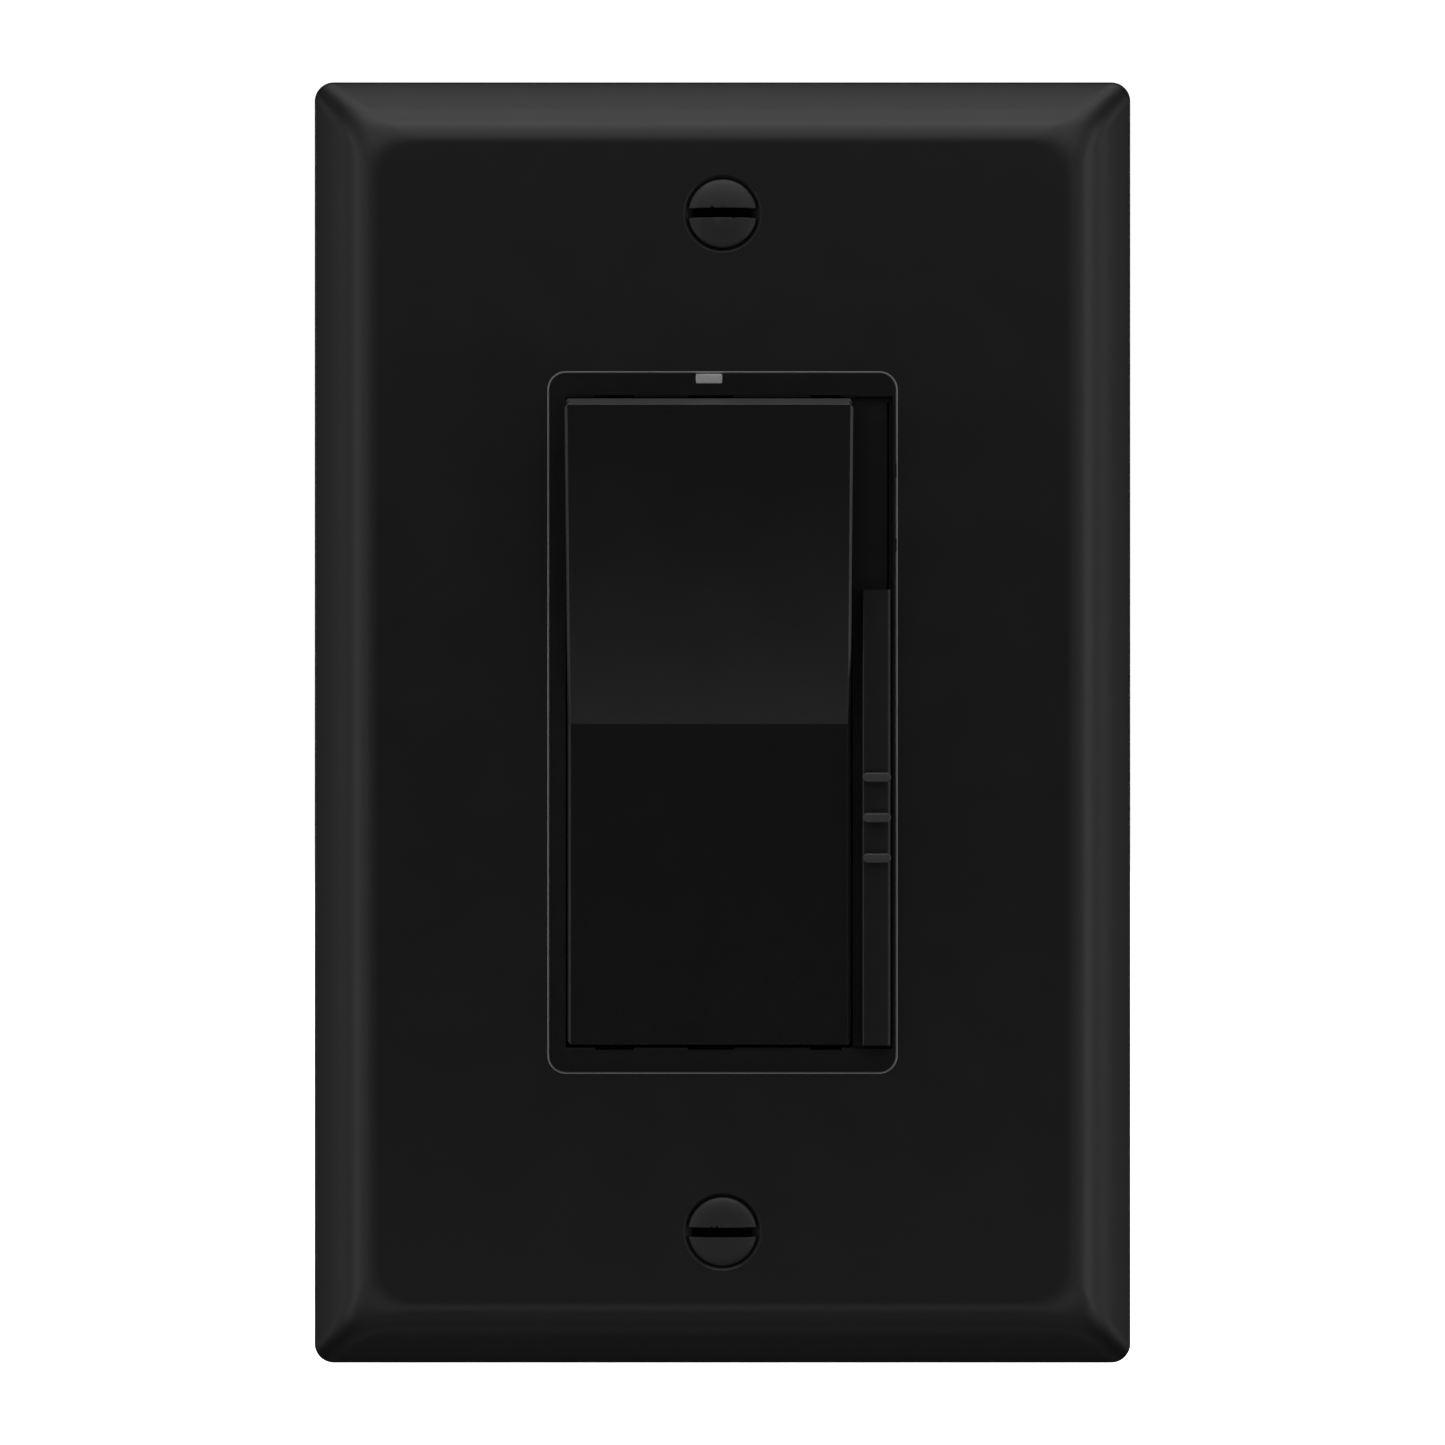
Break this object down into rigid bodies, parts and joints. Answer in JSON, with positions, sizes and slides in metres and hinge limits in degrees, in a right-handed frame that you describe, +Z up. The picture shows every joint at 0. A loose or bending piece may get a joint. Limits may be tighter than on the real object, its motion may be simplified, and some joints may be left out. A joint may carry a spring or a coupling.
{
  "type": "wall dimmer switch",
  "caption": "Black wall dimmer: a wide rocker paddle beside a long ribbed slide bar, in a bevelled mid-size wall plate with its strap, housing and electronics behind.",
  "frame": {"origin": "on the wall's surface, midway between the two plate screws", "axes": "+X to the right seen from the front, +Y into the wall, +Z up"},
  "size_m": [0.079, 0.0432, 0.124],
  "materials": {
    "plate": "satin black moulded plastic",
    "frame": "matt black moulded plastic",
    "paddle": "satin black moulded plastic",
    "slide": "satin black moulded plastic",
    "lens": "milky clear moulded light pipe",
    "black_screw": "black painted steel",
    "strap": "brushed, lightly oxidised",
    "zinc": "bright zinc plate",
    "green_screw": "green lacquered steel",
    "fibre": "pressed fibre",
    "housing": "matt dark moulded plastic",
    "board": "green solder mask",
    "pot_case": "tinned steel",
    "track": "phenolic board with a carbon track",
    "nylon": "natural nylon",
    "epoxy": "black epoxy with tinned legs",
    "ferrite": "sintered dark grey",
    "copper": "enamelled copper wire",
    "film_box": "moulded yellow case",
    "film_dip": "dipped red epoxy",
    "sleeve": "printed shrink sleeve, no lettering",
    "fuse_body": "white ceramic with tinned caps",
    "resistor": "lacquered tan with plain bands",
    "diode": "amber glass bead",
    "led": "water clear epoxy",
    "brass": "bright turned brass",
    "bronze": "rolled phosphor bronze",
    "silver": "silver contact alloy",
    "pad": "grey silicone"
  },
  "bodies": {
    "device": {"wall_plate": "plate", "plate_screw_top": "black_screw", "plate_screw_bottom": "black_screw", "box_screw_top": "zinc", "box_screw_bottom": "zinc", "screw_retainer_top": "fibre", "screw_retainer_bottom": "fibre", "mounting_strap": "strap", "ground_screw": "green_screw", "front_frame": "frame", "light_pipe": "lens", "pot_case": "pot_case", "pot_track": "track", "back_housing": "housing", "housing_screw_1": "zinc", "housing_screw_2": "zinc", "housing_screw_3": "zinc", "housing_screw_4": "zinc", "terminal_plate_line": "brass", "terminal_clamp_line": "zinc", "terminal_screw_line": "brass", "terminal_plate_traveller": "brass", "terminal_clamp_traveller": "zinc", "terminal_screw_traveller": "brass", "terminal_plate_load": "brass", "terminal_clamp_load": "zinc", "terminal_screw_load": "brass", "circuit_board": "board", "triac": "epoxy", "thermal_pad": "pad", "triac_screw": "zinc", "choke_core": "ferrite", "choke_winding": "copper", "film_capacitor_large": "film_box", "film_capacitor_small": "film_dip", "electrolytic_capacitor": "sleeve", "thermal_fuse": "fuse_body", "gate_resistor": "resistor", "dropper_resistor": "resistor", "diac": "diode", "indicator_led": "led", "contact_post": "nylon", "fixed_contact": "bronze"},
    "rocker": {"paddle": "paddle"},
    "slider": {"slide_bar": "slide", "pot_lever": "nylon"},
    "contact_leaf": {"contact_arm": "bronze", "moving_contact": "silver"}
  },
  "joints": [
    {"name": "paddle_rock", "type": "hinge", "parent": "device", "child": "rocker", "pos_m": [0, -0.0042, 0], "axis": [-1, 0, 0], "range_deg": [0, 11.2]},
    {"name": "slide_travel", "type": "slide", "parent": "device", "child": "slider", "axis": [0, 0, 1], "range_m": [0, 0.0183]},
    {"name": "contact_rock", "type": "hinge", "parent": "device", "child": "contact_leaf", "pos_m": [0, 0.0056, -0.024], "axis": [1, 0, 0], "range_deg": [0, 5.6]}
  ],
  "couplings": [
    {"joint": "contact_rock", "follows": "paddle_rock", "ratio": 0.5}
  ]
}
